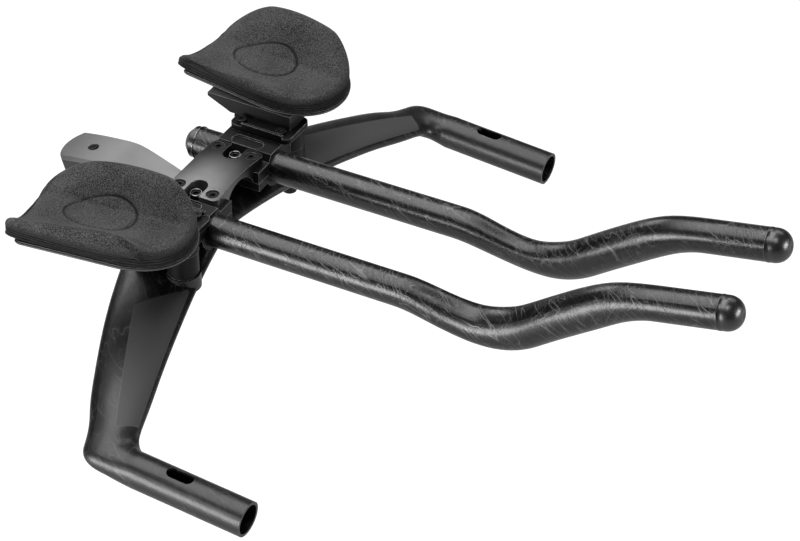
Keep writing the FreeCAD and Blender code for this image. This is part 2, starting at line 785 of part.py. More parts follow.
def armrest_plan(margin, rear):
    """The armrest's outline from above as a tall solid: straight sides from the rear and a round front."""
    half = armrest_half_width + margin
    round_start = armrest_length - armrest_half_width
    corners = [Vector(-half, round_start, 0), Vector(-half, rear, 0), Vector(half, rear, 0),
               Vector(half, round_start, 0)]
    lines = [Part.LineSegment(a, b).toShape() for a, b in zip(corners, corners[1:])]
    nose = Part.Arc(corners[3], Vector(0, round_start + half, 0), corners[0]).toShape()
    plan = Part.Face(Part.Wire(lines + [nose])).extrude(UP * (2 * armrest_rim_z))
    rear_corners = edges_where(plan, lambda centre, edge: centre.y < rear + 0.1 and abs(centre.x) > half - 0.1)
    return plan.makeFillet(armrest_corner, rear_corners)


def dish_height(across):
    """Height of the dish's round underside at a distance across from its middle."""
    reach = armrest_half_width + cup_margin
    radius = (reach ** 2 + armrest_dish ** 2) / (2 * armrest_dish)
    return armrest_rim_z - armrest_dish + radius - math.sqrt(radius ** 2 - across ** 2)


def dish_arc(lift):
    reach = armrest_half_width + 2 * cup_margin
    places = [Vector(across, -cup_margin, dish_height(across) + lift) for across in (-reach, 0, reach)]
    return Part.Arc(*places).toShape()


def closed_band(lower, upper):
    """A closed outline from a lower and an upper edge that run the same way across."""
    sides = []
    for end in (0, 1):
        sides.append(Part.LineSegment(lower.Vertexes[end].Point, upper.Vertexes[end].Point).toShape())
    return Part.Wire(Part.__sortEdges__([lower, sides[1], upper, sides[0]]))


def dish(lift, thickness):
    section = closed_band(dish_arc(lift), dish_arc(lift + thickness))
    return Part.Face(section).extrude(FORWARD * (armrest_length + 3 * cup_margin))


def pad_height(across, share):
    thickness = pad_rear_thickness + (pad_front_thickness - pad_rear_thickness) * share
    peak = pad_inner_swell if across < 0 else pad_outer_swell
    swell = peak * max(math.sin(math.pi * share), 0) ** pad_swell_power
    return thickness + swell * abs(across / armrest_half_width) ** pad_wall_power


def pad_top():
    """The pad's upper surface: a trough whose sides swell in the middle."""
    lift = cup_thickness + pad_seat_gap
    reach = armrest_half_width + cup_margin
    across_places = [reach * step / pad_side_points for step in range(-pad_side_points, pad_side_points + 1)]
    shares = [step / pad_steps for step in range(pad_steps + 1)]
    lines = []
    for across in across_places:
        points = []
        for share in shares:
            height = dish_height(across) + lift + pad_height(across, share)
            points.append(Vector(across, armrest_length * share, height))
        lines.append(curve_through(points, shares))
    rows = [curve_through(poles, across_places) for poles in poles_across(lines)]
    return net_surface(lines, rows, False)


def armrest_cup():
    shell = armrest_place(dish(0, cup_thickness).common(armrest_plan(cup_margin, cup_rear_inset)))
    inner = extension_x + keel_inner_reach
    low = base_top_z
    side_view = [(keel_rear_y + keel_heel, low), (keel_front_y, low), (keel_front_y, armrest_rim_z),
                 (keel_rear_y, armrest_rim_z), (keel_rear_y, low + keel_heel_height)]
    keel = prism([Vector(inner, y, z) for y, z in side_view], OUTWARD * keel_width)
    above = armrest_place(dish(cup_thickness / 2, armrest_rim_z))
    cup = shell.fuse(keel.cut(above)).removeSplitter()
    seat = low + cup_screw_grip
    for y in cup_screw_rows:
        x = extension_x + cup_screw_reach
        cup = cup.cut(hole(x, y, low - 1, seat, m4_radius))
        cup = cup.cut(counterbore(x, y, seat, 2 * armrest_rim_z, m4_head_radius))
    return cup


def armrest_cup_screws():
    screws = []
    for y in cup_screw_rows:
        seat = Vector(extension_x + cup_screw_reach, y, base_top_z + cup_screw_grip)
        screws.append(bolt(seat, UP, m4_radius, m4_head_radius, m4_head_height, cup_screw_length))
    return Part.makeCompound(screws + [mirrored(one) for one in screws])


def pad():
    below_top = pad_top().extrude(UP * -armrest_rim_z)
    above_dish = dish(cup_thickness + pad_seat_gap, armrest_rim_z)
    return armrest_place(armrest_plan(0, 0).common(below_top).common(above_dish))


def export(name, shape):
    shape.exportStep(os.path.join("parts", name + ".step"))


def export_pair(name, shape):
    export(name + "_right", shape)
    export(name + "_left", mirrored(shape))


def main():
    os.makedirs("parts", exist_ok=True)
    export("base_bar", base_bar())
    export("stem_cover", stem_cover())
    export("stem_cover_screw", cover_screw())
    export("steerer_clamp_bolts", steerer_clamp_bolts())
    export_pair("riser_rear", riser(riser_rows[0]))
    export_pair("riser_front", riser(riser_rows[1]))
    export("riser_bolts", riser_bolts())
    export_pair("clamp_upper", clamp_upper())
    export_pair("clamp_lower", clamp_lower())
    export("clamp_bolts", clamp_bolts())
    export("bridge_plate", bridge_plate())
    export("bridge_bolts", bridge_bolts())
    export_pair("armrest_base", armrest_base())
    export("armrest_base_bolts", armrest_base_bolts())
    export_pair("armrest_cup", armrest_cup())
    export("armrest_cup_screws", armrest_cup_screws())
    export_pair("pad", pad())
    export_pair("extension", extension())
    export_pair("rear_plug", rear_plug())
    export_pair("front_cap", front_cap())


main()
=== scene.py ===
import functools
import math

import bpy
import numpy as np
from mathutils import Matrix, Vector


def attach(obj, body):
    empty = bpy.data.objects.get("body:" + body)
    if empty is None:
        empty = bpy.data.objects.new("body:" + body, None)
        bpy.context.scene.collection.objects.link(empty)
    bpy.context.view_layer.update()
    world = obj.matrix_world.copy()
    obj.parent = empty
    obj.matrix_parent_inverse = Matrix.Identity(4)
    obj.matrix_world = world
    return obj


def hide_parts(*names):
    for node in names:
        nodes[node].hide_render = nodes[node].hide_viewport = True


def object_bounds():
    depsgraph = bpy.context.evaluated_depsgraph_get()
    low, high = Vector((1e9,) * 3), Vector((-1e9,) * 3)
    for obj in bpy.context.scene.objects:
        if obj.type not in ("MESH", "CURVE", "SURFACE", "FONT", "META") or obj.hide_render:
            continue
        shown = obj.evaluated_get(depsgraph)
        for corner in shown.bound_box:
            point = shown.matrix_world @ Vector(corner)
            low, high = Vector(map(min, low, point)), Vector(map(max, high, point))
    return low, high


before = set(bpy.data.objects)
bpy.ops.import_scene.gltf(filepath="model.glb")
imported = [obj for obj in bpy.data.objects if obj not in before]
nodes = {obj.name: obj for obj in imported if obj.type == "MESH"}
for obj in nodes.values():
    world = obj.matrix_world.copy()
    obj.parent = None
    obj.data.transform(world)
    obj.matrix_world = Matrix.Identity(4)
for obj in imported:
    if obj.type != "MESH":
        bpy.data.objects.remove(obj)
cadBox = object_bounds()
print("frame loaded:", len(nodes), "nodes")

mm = 0.001
sides = {"right": 1, "left": -1}  # the rider's right is +X


def linearColour(hexText):  # sRGB hex to linear RGBA
    channels = [int(hexText[i:i + 2], 16) / 255 for i in (1, 3, 5)]
    return [c / 12.92 if c <= 0.04045 else ((c + 0.055) / 1.055) ** 2.4 for c in channels] + [1.0]


def feed(tree, node, inputs):  # each input is a value, a hex colour or another node's output to link
    for name, value in inputs.items():
        if isinstance(value, bpy.types.NodeSocket):
            tree.links.new(value, node.inputs[name])
        else:
            node.inputs[name].default_value = linearColour(value) if isinstance(value, str) else value


def addNode(tree, kind, inputs=(), out=0, **settings):  # a node with its settings and links, inputs by name or in order
    made = tree.nodes.new("ShaderNode" + kind)
    for name, value in settings.items():
        setattr(made, name, value)
    feed(tree, made, inputs if isinstance(inputs, dict) else dict(enumerate(inputs)))
    return made.outputs[out]


def newMaterial(name):  # a material, what sets its principled shader, and what adds a node to it
    made = bpy.data.materials.new(name)
    made.use_nodes = True
    tree = made.node_tree
    return made, functools.partial(feed, tree, tree.nodes["Principled BSDF"]), functools.partial(addNode, tree)


colours = {"out": "Result", "data_type": "RGBA"}  # settings for a mix of two colours
smooth = {"interpolation_type": "SMOOTHSTEP"}  # settings for a range with soft ends
noiseSpan = (0.3, 0.7)  # the values that a noise mostly takes

# Camera where the photograph was taken from
view = {"place": (1.1935, 0.8762, 1.0944), "towards": (-0.692, -0.377, -0.6155), "lens": 117.49, "sensor": 36,
        "shift": (-0.0009, 0.0009)}
camera = bpy.data.objects.new("camera", bpy.data.cameras.new("camera"))
camera.data.lens = view["lens"]
camera.data.sensor_width = view["sensor"]
camera.data.shift_x, camera.data.shift_y = view["shift"]
camera.location = view["place"]
camera.rotation_euler = Vector(view["towards"]).to_track_quat("-Z", "Y").to_euler()
bpy.context.scene.collection.objects.link(camera)
bpy.context.scene.camera = camera
bpy.context.scene.view_settings.view_transform = "Standard"

# Matt white paper as the floor, well below so that the shadow is soft; the eye and mirrors see it white
stage = {"floorDrop": 0.32, "floorSize": 40.0, "paper": "#848484", "rough": 0.9, "floorWhite": 0.85,
         "mirrorShare": 0.4, "worldLight": 0.04}
half = stage["floorSize"] / 2
floorZ = cadBox[0][2] - stage["floorDrop"]
floorMesh = bpy.data.meshes.new("floor")
floorMesh.from_pydata([(-half, -half, floorZ), (half, -half, floorZ), (half, half, floorZ), (-half, half, floorZ)],
                      [], [(0, 1, 2, 3)])
floor = bpy.data.objects.new("floor", floorMesh)
bpy.context.scene.collection.objects.link(floor)
paper, setShader, add = newMaterial("whitePaper")
ray = add("LightPath").node.outputs
mirrored = add("Math", (ray["Is Glossy Ray"], ray["Is Transmission Ray"]), operation="MAXIMUM")
mirrored = add("Math", (mirrored, stage["mirrorShare"]), operation="MULTIPLY")
looked = add("Math", (ray["Is Camera Ray"], mirrored), operation="MAXIMUM")
setShader({"Base Color": stage["paper"], "Roughness": stage["rough"], "Emission Color": "#ffffff",
           "Emission Strength": add("Math", (looked, stage["floorWhite"]), operation="MULTIPLY")})
floorMesh.materials.append(paper)

world = bpy.data.worlds.new("studio")
bpy.context.scene.world = world
world.use_nodes = True
feed(world.node_tree, world.node_tree.nodes["Background"], {"Color": "#ffffff", "Strength": stage["worldLight"]})

# Soft boxes: the way to each from the middle of the bar, the way its long side lies, its size and its power
lamps = {
    "overhead": {"towards": (-0.04, -0.36, 0.93), "lies": (1, 0, 0), "distance": 1.6, "size": (2.0, 0.8), "power": 23},
    "sideStrip": {"towards": (0.92, -0.38, 0.02), "lies": (0, 1, 0), "distance": 1.3, "size": (0.9, 0.5), "power": 18},
    "front": {"towards": (-0.15, 0.95, 0.22), "lies": (1, 0, 0), "distance": 1.5, "size": (0.7, 0.35), "power": 12},
    "farSide": {"towards": (-0.69, 0.05, 0.70), "lies": (0, 1, 0), "distance": 1.6, "size": (0.9, 0.5), "power": 4},
    "top": {"towards": (0.33, 0.18, 0.93), "lies": (1, 0, 0), "distance": 1.5, "size": (0.5, 0.4), "power": 5},
    "rear": {"towards": (-0.45, -0.74, 0.50), "lies": (1, 0, 0), "distance": 1.5, "size": (0.8, 0.3), "power": 4},
}
barMiddle = Vector((0.0, 0.2, 0.05))
for name, lamp in lamps.items():
    light = bpy.data.lights.new(name, "AREA")
    light.shape = "RECTANGLE"
    light.size, light.size_y = lamp["size"]
    light.energy = lamp["power"]
    box = bpy.data.objects.new(name, light)
    back = Vector(lamp["towards"]).normalized()
    up = back.cross(Vector(lamp["lies"])).normalized()
    box.matrix_world = Matrix((up.cross(back), up, back)).transposed().to_4x4()
    box.location = barMiddle + back * lamp["distance"]
    bpy.context.scene.collection.objects.link(box)
print("stage and lights set")

# Chopped carbon laminate under a satin lacquer: thin pale fibres in near-black resin, which glint in the bright bands.
# Real fibres are about 0.007 mm thick; they are drawn some twenty times coarser, or none would show
fibres = {"hair": (2.4 * mm, 15 * mm), "strand": (4.5 * mm, 26 * mm), "thin": 0.03, "slant": math.radians(24),
          "bend": 8 * mm, "bendReach": 22 * mm, "patch": 26 * mm, "patchRange": (0.36, 0.62), "faintest": 0.1,
          "boldFrom": 0.2, "boldAt": 0.6, "hairTone": 0.5, "resin": "#040404", "fibre": "#505050"}
lacquer = {"grain": 0.6 * mm, "grainStretch": (0.3, 1.0, 0.3), "grainRelief": 0.4, "relief": 0.05 * mm, "rough": 0.31,
           "satin": 0.22, "roughSpread": 0.05, "coat": 0.15, "coatRough": 0.2}
# Flat matt panel on each arm, seen from above: its corners (across, forward) in mm, in order, and a pale line round it
panel = {"corners": ((196.0, 127.9), (187.1, 139.9), (78.2, 110.5), (109.3, 86.9)), "tones": ("#323232", "#404040"),
         "upward": (0.30, 0.42), "edge": 0.5 * mm, "grit": 0.8 * mm, "rough": 0.55, "line": "#565656", "lineShow": 3.0}


def hairs(add, place, size, slant):  # the thin lines where drawn-out noise passes its middle value
    width, length = size
    drawn = add("Mapping", {"Vector": place, "Rotation": (slant, 0.0, slant), "Scale": (length, width, length)},
                vector_type="TEXTURE")
    value = add("TexNoise", {"Vector": drawn, "Scale": 1.0, "Detail": 0.0})
    off = add("Math", (value, 0.5), operation="SUBTRACT")
    off = add("Math", (off,), operation="ABSOLUTE")
    return add("MapRange", (off, fibres["thin"], 0.0), **smooth)


def panelAmount(add, place):  # inside all four sides of the panel, on the upper face of either arm
    parts = add("SeparateXYZ", (place,)).node.outputs
    flat = add("CombineXYZ", (add("Math", (parts["X"],), operation="ABSOLUTE"), parts["Y"], 0.0))
    upward = add("SeparateXYZ", (add("TexCoord", out="Normal"),), "Z")
    amount = add("MapRange", (upward, *panel["upward"]), **smooth)
    corners = [(x * mm, y * mm) for x, y in panel["corners"]]
    for (ax, ay), (bx, by) in zip(corners, corners[1:] + corners[:1]):
        length = math.hypot(bx - ax, by - ay)
        nx, ny = (ay - by) / length, (bx - ax) / length
        start = nx * ax + ny * ay
        reach = add("VectorMath", (flat, (nx, ny, 0.0)), "Value", operation="DOT_PRODUCT")
        inside = add("MapRange", (reach, start, start + panel["edge"]), **smooth)
        amount = add("Math", (amount, inside), operation="MULTIPLY")
    return amount


def carbonMaterial(name, showing, withPanel=False):  # showing: how strongly the fibres stand out
    made, setShader, add = newMaterial(name)
    place = add("TexCoord", out="Object")
    # fibres lie in slanted rows that wander a little, and come and go in patches
    wander = add("TexNoise", {"Vector": place, "Scale": 1 / fibres["bendReach"], "Detail": 1.0}, "Color")
    shift = add("VectorMath", (wander, (0.5, 0.5, 0.5)), operation="SUBTRACT")
    shift = add("VectorMath", {0: shift, "Scale": fibres["bend"]}, operation="SCALE")
    bent = add("VectorMath", (place, shift), operation="ADD")
    leaning = hairs(add, bent, fibres["hair"], fibres["slant"])
    crossing = hairs(add, bent, fibres["hair"], -fibres["slant"])
    strands = hairs(add, bent, fibres["strand"], 2 * fibres["slant"])
    patches = add("TexNoise", {"Vector": place, "Scale": 1 / fibres["patch"]})
    strength = add("MapRange", (patches, *fibres["patchRange"], fibres["faintest"] * showing, showing), **smooth)
    bold = add("MapRange", (strength, 0.0, fibres["boldAt"], fibres["boldFrom"] * showing, showing), **smooth)
    fine = add("Math", (add("Math", (leaning, crossing), operation="MAXIMUM"), strength), operation="MULTIPLY")
    strands = add("Math", (strands, bold), operation="MULTIPLY")
    fleck = add("Math", (add("Math", (fine, fibres["hairTone"]), operation="MULTIPLY"), strands), operation="MAXIMUM")
    colour = add("Mix", {"Factor": fleck, "A": fibres["resin"], "B": fibres["fibre"]}, **colours)
    # the lacquer follows the fibres and has a fine grain of its own
    drawn = add("Mapping", {"Vector": place, "Scale": lacquer["grainStretch"]})
    grain = add("TexNoise", {"Vector": drawn, "Scale": 1 / lacquer["grain"]})
    proud = add("Math", (fine, strands), operation="MAXIMUM")
    relief = add("Math", (grain, lacquer["grainRelief"], proud), operation="MULTIPLY_ADD")
    satin = lacquer["rough"] + lacquer["satin"] * (1 - showing)
    rough = add("MapRange", (grain, *noiseSpan, satin - lacquer["roughSpread"], satin + lacquer["roughSpread"]))
    coat = lacquer["coat"]
    if withPanel:
        flat = panelAmount(add, place)
        bare = add("Math", (1.0, flat), operation="SUBTRACT")
        rim = add("Math", (add("Math", (flat, bare), operation="MULTIPLY"), panel["lineShow"]), operation="MULTIPLY")
        grit = add("TexNoise", {"Vector": place, "Scale": 1 / panel["grit"], "Detail": 3.0})
        matt = add("Mix", {"Factor": grit, "A": panel["tones"][0], "B": panel["tones"][1]}, **colours)
        colour = add("Mix", {"Factor": flat, "A": colour, "B": matt}, **colours)
        colour = add("Mix", {"Factor": rim, "A": colour, "B": panel["line"]}, **colours)
        dull = add("Math", (flat, panel["rough"]), operation="MULTIPLY")
        rough = add("Math", (rough, dull), operation="MAXIMUM")
        relief = add("Math", (relief, bare), operation="MULTIPLY")
        coat = add("MapRange", (flat, 0.0, 1.0, coat, 0.0), **smooth)
    bump = add("Bump", {"Height": relief, "Strength": 1.0, "Distance": lacquer["relief"]})
    setShader({"Base Color": colour, "Roughness": rough, "Normal": bump, "Coat Weight": coat,
               "Coat Roughness": lacquer["coatRough"], "Coat Normal": bump})
    return made


# Painted, anodised, oxidised or moulded finishes: a tone that drifts a little, grit that roughens, painted edge
# highlights.
# Sizes of grit and edge highlights are in mm; blasted grit is finer than 0.1 mm and is drawn coarser, to show at all
finishes = {
    # sprayed: a soft even grey; painted shade makes it deeper away from the front and on the walls below the crease
    "satinGreyPaint": {"tones": ("#8a8a8a", "#969696"), "rough": (0.34, 0.46), "metal": 0.0, "shine": 0.5,
                       "grit": 0.35, "bump": 0.08, "edge": ("#b4b4b4", 0.35, 0.5), "sides": "#1c1c1c",
                       "lit": ((0 * mm, 60 * mm), (80 * mm, 90 * mm), "#4a4a4a")},
    # blasted and anodised: a silky grey, with a painted reflection that goes dark towards the clamps
    "greyAnodisedAluminium": {"tones": ("#828282", "#909090"), "rough": (0.30, 0.40), "metal": 0.8, "shine": 0.5,
                              "grit": 0.4, "bump": 0.08, "edge": ("#a8a8a8", 0.5, 0.8),
                              "lit": ((24 * mm, 84 * mm), (50 * mm, 28 * mm), "#202020")},
    # machined and anodised: a deep dull black, with a painted highlight as thin pale edges
    "blackAnodisedAluminium": {"tones": ("#060606", "#0b0b0b"), "rough": (0.40, 0.52), "metal": 0.0, "shine": 0.2,
                               "grit": 0.5, "bump": 0.12, "edge": ("#b0b0b0", 0.5, 1.0)},
    # forged and blackened: almost black, with a small glint
    "blackOxideSteel": {"tones": ("#121212", "#202020"), "rough": (0.26, 0.40), "metal": 0.6, "shine": 0.5,
                        "grit": 0.3, "bump": 0.08, "edge": ("#8a8a8a", 0.25, 0.7)},
    # moulded: a fine matt grit, with a painted highlight making the edges a little paler
    "blackNylon": {"tones": ("#0c0c0c", "#161616"), "rough": (0.42, 0.56), "metal": 0.0, "shine": 0.4,
                   "grit": 0.5, "bump": 0.15, "edge": ("#8c8c8c", 0.6, 0.8)},
    # moulded: black with a broad soft shine
    "blackRubber": {"tones": ("#0a0a0a", "#131313"), "rough": (0.28, 0.40), "metal": 0.0, "shine": 0.9,
                    "grit": 0.6, "bump": 0.12, "edge": ("#5a5a5a", 0.3, 0.4)},
    # moulded edge of the cup: a thin paler grey line
    "paleNylon": {"tones": ("#424242", "#525252"), "rough": (0.36, 0.48), "metal": 0.0, "shine": 0.5,
                  "grit": 0.4, "bump": 0.1, "edge": ("#8c8c8c", 0.2, 0.3)},
    # turned: small bright lines
    "brightSteel": {"tones": ("#8e8e8e", "#a6a6a6"), "rough": (0.20, 0.30), "metal": 1.0, "shine": 0.5,
                    "grit": 0.3, "bump": 0.05, "edge": ("#e8e8e8", 0.1, 0.3)},
}
# the painted edge highlight uses the patch, span, samples and angle sizes here; fade and crease shape the painted light
# and shade
surfacing = {"drift": 24 * mm, "highlightPatch": 4 * mm, "highlightSpan": (0.3, 0.6), "faintestHighlight": 0.5, "edgeSamples": 6,
             "highlightAngle": (0.995, 0.86), "fade": (0.1, 1.1), "crease": (0.45, 0.60), "gritHeight": 0.2 * mm}


def finishMaterial(name):
    values = finishes[name]
    made, setShader, add = newMaterial(name)
    place = add("TexCoord", out="Object")
    drift = add("TexNoise", {"Vector": place, "Scale": 1 / surfacing["drift"], "Detail": 3.0})
    drift = add("MapRange", (drift, *noiseSpan), **smooth)
    tone = add("Mix", {"Factor": drift, "A": values["tones"][0], "B": values["tones"][1]}, **colours)
    if "lit" in values:  # painted light and shade: full tone round one place, fading to a darker one away from it
        (x, y), (reachX, reachY), paintedShadeTone = values["lit"]
        off = add("Mapping", {"Vector": place, "Location": (x, y, 0.0), "Scale": (reachX, reachY, 1.0)},
                  vector_type="TEXTURE")
        away = add("MapRange", (add("VectorMath", (off,), "Value", operation="LENGTH"), *surfacing["fade"]), **smooth)
        tone = add("Mix", {"Factor": away, "A": tone, "B": paintedShadeTone}, **colours)
    if "sides" in values:  # painted shade: a darker tone on the walls below the crease
        upward = add("SeparateXYZ", (add("TexCoord", out="Normal"),), "Z")
        above = add("MapRange", (upward, *surfacing["crease"]), **smooth)
        tone = add("Mix", {"Factor": above, "A": values["sides"], "B": tone}, **colours)
    # near a sharp edge the rounded normal leaves the face's own, and there a painted edge highlight makes the tone
    # paler in patches
    paler, width, amount = values["edge"]
    rounded = add("Bevel", {"Radius": width * mm}, samples=surfacing["edgeSamples"])
    along = add("VectorMath", (rounded, add("NewGeometry", out="Normal")), "Value", operation="DOT_PRODUCT")
    patches = add("TexNoise", {"Vector": place, "Scale": 1 / surfacing["highlightPatch"]})
    patches = add("MapRange", (patches, *surfacing["highlightSpan"], surfacing["faintestHighlight"] * amount, amount), **smooth)
    edgeHighlight = add("MapRange", (along, *surfacing["highlightAngle"]), **smooth)
    edgeHighlight = add("Math", (edgeHighlight, patches), operation="MULTIPLY")
    grit = add("TexNoise", {"Vector": place, "Scale": 1 / (values["grit"] * mm)})
    setShader({"Base Color": add("Mix", {"Factor": edgeHighlight, "A": tone, "B": paler}, **colours),
               "Roughness": add("MapRange", (grit, *noiseSpan, *values["rough"]), **smooth),
               "Normal": add("Bump", {"Height": grit, "Strength": values["bump"], "Normal": rounded,
                                      "Distance": surfacing["gritHeight"]}),
               "Metallic": values["metal"], "Specular IOR Level": values["shine"]})
    return made


# Fine polyester knit over foam: dense pale flecks on black, with painted shade in the pressed lines, darker at the
# foot.
# Its loops are about 0.4 mm in a real pad and are drawn 1 mm wide, or they would blur away
knitCloth = {"loop": 1.0 * mm, "loopHeight": 0.35 * mm, "loopBump": 0.6, "fleck": 0.7 * mm, "fleckSpan": (0.38, 0.66),
             "fleckTone": 0.8, "cloud": 30 * mm, "cloudSpan": (0.35, 0.65), "cloudTone": 0.2, "rough": 0.85,
             "shine": 0.25, "sheen": 0.12, "sheenRough": 0.5, "footDark": 0.75, "pressedSpan": (0.15, 0.8),
             "tones": ("#0a0a0a", "#525252"), "line": "#030303"}


def knitMaterial():
    made, setShader, add = newMaterial("polyesterKnit")
    place = add("TexCoord", out="Object")
    flecks = add("TexNoise", {"Vector": place, "Scale": 1 / knitCloth["fleck"]})
    clouds = add("TexNoise", {"Vector": place, "Scale": 1 / knitCloth["cloud"]})
    flecks = add("MapRange", (flecks, *knitCloth["fleckSpan"], 0.0, knitCloth["fleckTone"]), **smooth)
    clouds = add("MapRange", (clouds, *knitCloth["cloudSpan"], 0.0, knitCloth["cloudTone"]), **smooth)
    tone = add("Math", (flecks, clouds), operation="ADD")
    colour = add("Mix", {"Factor": tone, "A": knitCloth["tones"][0], "B": knitCloth["tones"][1]}, **colours)
    layer = add("Attribute", out="Fac", attribute_name="layer")
    layer = add("Math", (layer, knitCloth["footDark"]), operation="MULTIPLY")
    colour = add("Mix", {"Factor": layer, "A": colour, "B": knitCloth["line"]}, **colours)
    # the pressed lines and the egg turn near black: painted shade in the grooves
    pressed = add("Attribute", out="Fac", attribute_name="pressed")
    pressed = add("MapRange", (pressed, *knitCloth["pressedSpan"]), **smooth)
    loops = add("TexVoronoi", {"Vector": place, "Scale": 1 / knitCloth["loop"]}, "Distance")
    setShader({"Base Color": add("Mix", {"Factor": pressed, "A": colour, "B": knitCloth["line"]}, **colours),
               "Normal": add("Bump", {"Height": loops, "Strength": knitCloth["loopBump"],
                                      "Distance": knitCloth["loopHeight"]}),
               "Roughness": knitCloth["rough"], "Specular IOR Level": knitCloth["shine"],
               "Sheen Weight": knitCloth["sheen"], "Sheen Roughness": knitCloth["sheenRough"]})
    return made


def dress(material, *starts):  # gives a material to every CAD node whose name starts so
    for name, node in nodes.items():
        if name.startswith(starts):
            node.data.materials.clear()
            node.data.materials.append(material)


blackRubber = finishMaterial("blackRubber")
dress(carbonMaterial("carbonLaminate", 1.0), "extension_")
dress(carbonMaterial("carbonLaminateWithPanel", 0.55, withPanel=True), "base_bar")
dress(finishMaterial("satinGreyPaint"), "stem_cover")
dress(finishMaterial("greyAnodisedAluminium"), "bridge_plate")
dress(finishMaterial("blackAnodisedAluminium"), "clamp_", "riser_", "armrest_base")
dress(finishMaterial("blackOxideSteel"), "stem_cover_screw", "steerer_clamp_bolts", "riser_bolts", "clamp_bolts",
      "bridge_bolts", "armrest_base_bolts", "armrest_cup_screws")
dress(finishMaterial("blackNylon"), "armrest_cup_left", "armrest_cup_right")
dress(blackRubber, "front_cap_", "rear_plug_")
print("materials on the CAD nodes")

# Armrest pads, in the armrest's own frame: across from its middle line, along from its rear edge
armrest = {"x": 110 * mm, "y": 11 * mm, "rimHeight": 80 * mm, "yaw": math.radians(8), "pitch": math.radians(0.5),
           "halfWidth": 36.5 * mm, "length": 115 * mm, "dish": 4 * mm, "cupMargin": 1 * mm, "seat": 2.9 * mm}
padding = {
    # foam and walls: the wall towards +X rises slowly and drops before the nose, the wall towards -X is one long swell
    "rear": 6 * mm, "front": 10.5 * mm, "wallPower": 2.6, "drop": (0.68, 0.87), "swellLean": 0.92, "swellFull": 0.46,
    "walls": {"right": {"start": 5 * mm, "gain": 13 * mm, "far": 17.5 * mm},
              "left": {"start": -1.5 * mm, "gain": 9 * mm, "far": 22.5 * mm}},
    "hem": 3.5 * mm, "hemReach": 7 * mm, "hemIn": 4 * mm, "hemAlong": 5 * mm,
    # outline and sides
    "sharpCorner": 9.0, "roundCorner": 4.6, "nose": 2.15, "overhang": 0.8 * mm, "tip": 4 * mm, "tipReach": 14 * mm,
    "roll": 5.5 * mm, "rollShare": 0.55, "footRoll": 1.0 * mm, "layers": 7.0 * mm, "layerShare": 0.75, "centre": 0.52,
    "grid": 45, "rings": (9, 7, 16, 4),
    # stuffing
    "drawIn": 0.6 * mm, "pressure": 4.0, "frames": 20, "cap": 1.5 * mm, "fill": 0.85,
    # pressed lines round the side and the plain egg on top
    "lines": (1.9 * mm, 3.8 * mm, 5.7 * mm), "lineDepth": 0.8 * mm, "lineWidth": 0.5 * mm,
    "footFade": (7 * mm, 13 * mm),
    "eggAcross": -1 * mm, "eggAlong": 50 * mm, "eggHalfAcross": 16.5 * mm, "eggHalfAlong": 25 * mm, "eggLean": 0.2,
    "eggDepth": 1.3 * mm, "eggWidth": 0.8 * mm, "eggShade": 0.8,
}
onTop, underneath = 1.0, -1.0  # stand for the height above the foot, on the lid and on the underside
knit = knitMaterial()


def dishHeight(across):  # the cup's round floor: a circle through both rims and the low middle
    reach = armrest["halfWidth"] + armrest["cupMargin"]
    radius = (reach ** 2 + armrest["dish"] ** 2) / (2 * armrest["dish"])
    return armrest["rimHeight"] - armrest["dish"] + radius - np.sqrt(radius ** 2 - np.clip(across, -reach, reach) ** 2)


def smoothStep(value, low, high):  # from 0 to 1 with level ends: three squares less two cubes
    t = np.clip((value - low) / (high - low), 0, 1)
    return t * t * (3 - 2 * t)


def padTop(across, along, name):
    # floor plus foam that thickens forward, plus a wall that grows with a power of the way out to the side: one wall
    # drops before the nose, the other is half a sine wave; a small round hem lifts the sharp rear corner
    side = sides[name]
    wall = padding["walls"][name]
    share = np.clip(along / armrest["length"], 0, 1)
    foam = padding["rear"] + (padding["front"] - padding["rear"]) * share
    near = (wall["start"] + wall["gain"] * share) * (1 - smoothStep(share, *padding["drop"]))
    far = wall["far"] * np.sin(np.pi * share ** padding["swellLean"]) ** padding["swellFull"]
    reach = np.clip(np.abs(across) / (armrest["halfWidth"] - padding["roll"]), 0, 1) ** padding["wallPower"]
    corner = np.hypot(across * side - armrest["halfWidth"] + padding["hemIn"], along - padding["hemAlong"])
    hem = padding["hem"] * np.exp(-(corner / padding["hemReach"]) ** 2)
    return dishHeight(across) + armrest["seat"] + foam + np.where(across * side > 0, near, far) * reach + hem


def padOutline(turn, sharpSide):
    # powers of cosine and sine: a round nose, a long rear with one sharp corner, drawn out to a tip, and one round one
    c, s = np.cos(turn), np.sin(turn)
    corner = np.where(c * sharpSide > 0, padding["sharpCorner"], padding["roundCorner"])
    power = 2 / np.where(s > 0, padding["nose"], corner)
    noseStart = armrest["length"] - armrest["halfWidth"]
    reach = np.where(s > 0, armrest["halfWidth"], noseStart) + padding["overhang"]
    across = (armrest["halfWidth"] + padding["overhang"]) * np.sign(c) * np.abs(c) ** power
    along = noseStart + reach * np.sign(s) * np.abs(s) ** power
    fromTip = np.hypot(across * sharpSide - armrest["halfWidth"], along) / padding["tipReach"]
    return np.stack([across, along - padding["tip"] * np.exp(-fromTip ** 2)], -1)


def outlineAt(turns, sharpSide, samples=4000, step=0.004):
    # the outline walked evenly, by whole turns from 0 to 1, and the direction square to it, outwards
    path = padOutline(np.linspace(0, 2 * np.pi, samples), sharpSide)
    walked = np.concatenate([[0], np.cumsum(np.linalg.norm(np.diff(path, axis=0), axis=1))])
    walked /= walked[-1]

    def placeAt(turns):
        return np.stack([np.interp(turns % 1, walked, path[:, k]) for k in (0, 1)], -1)

    ahead = placeAt(turns + step) - placeAt(turns - step)
    ahead /= np.linalg.norm(ahead, axis=-1, keepdims=True)
    return placeAt(turns), np.stack([ahead[..., 1], -ahead[..., 0]], -1)


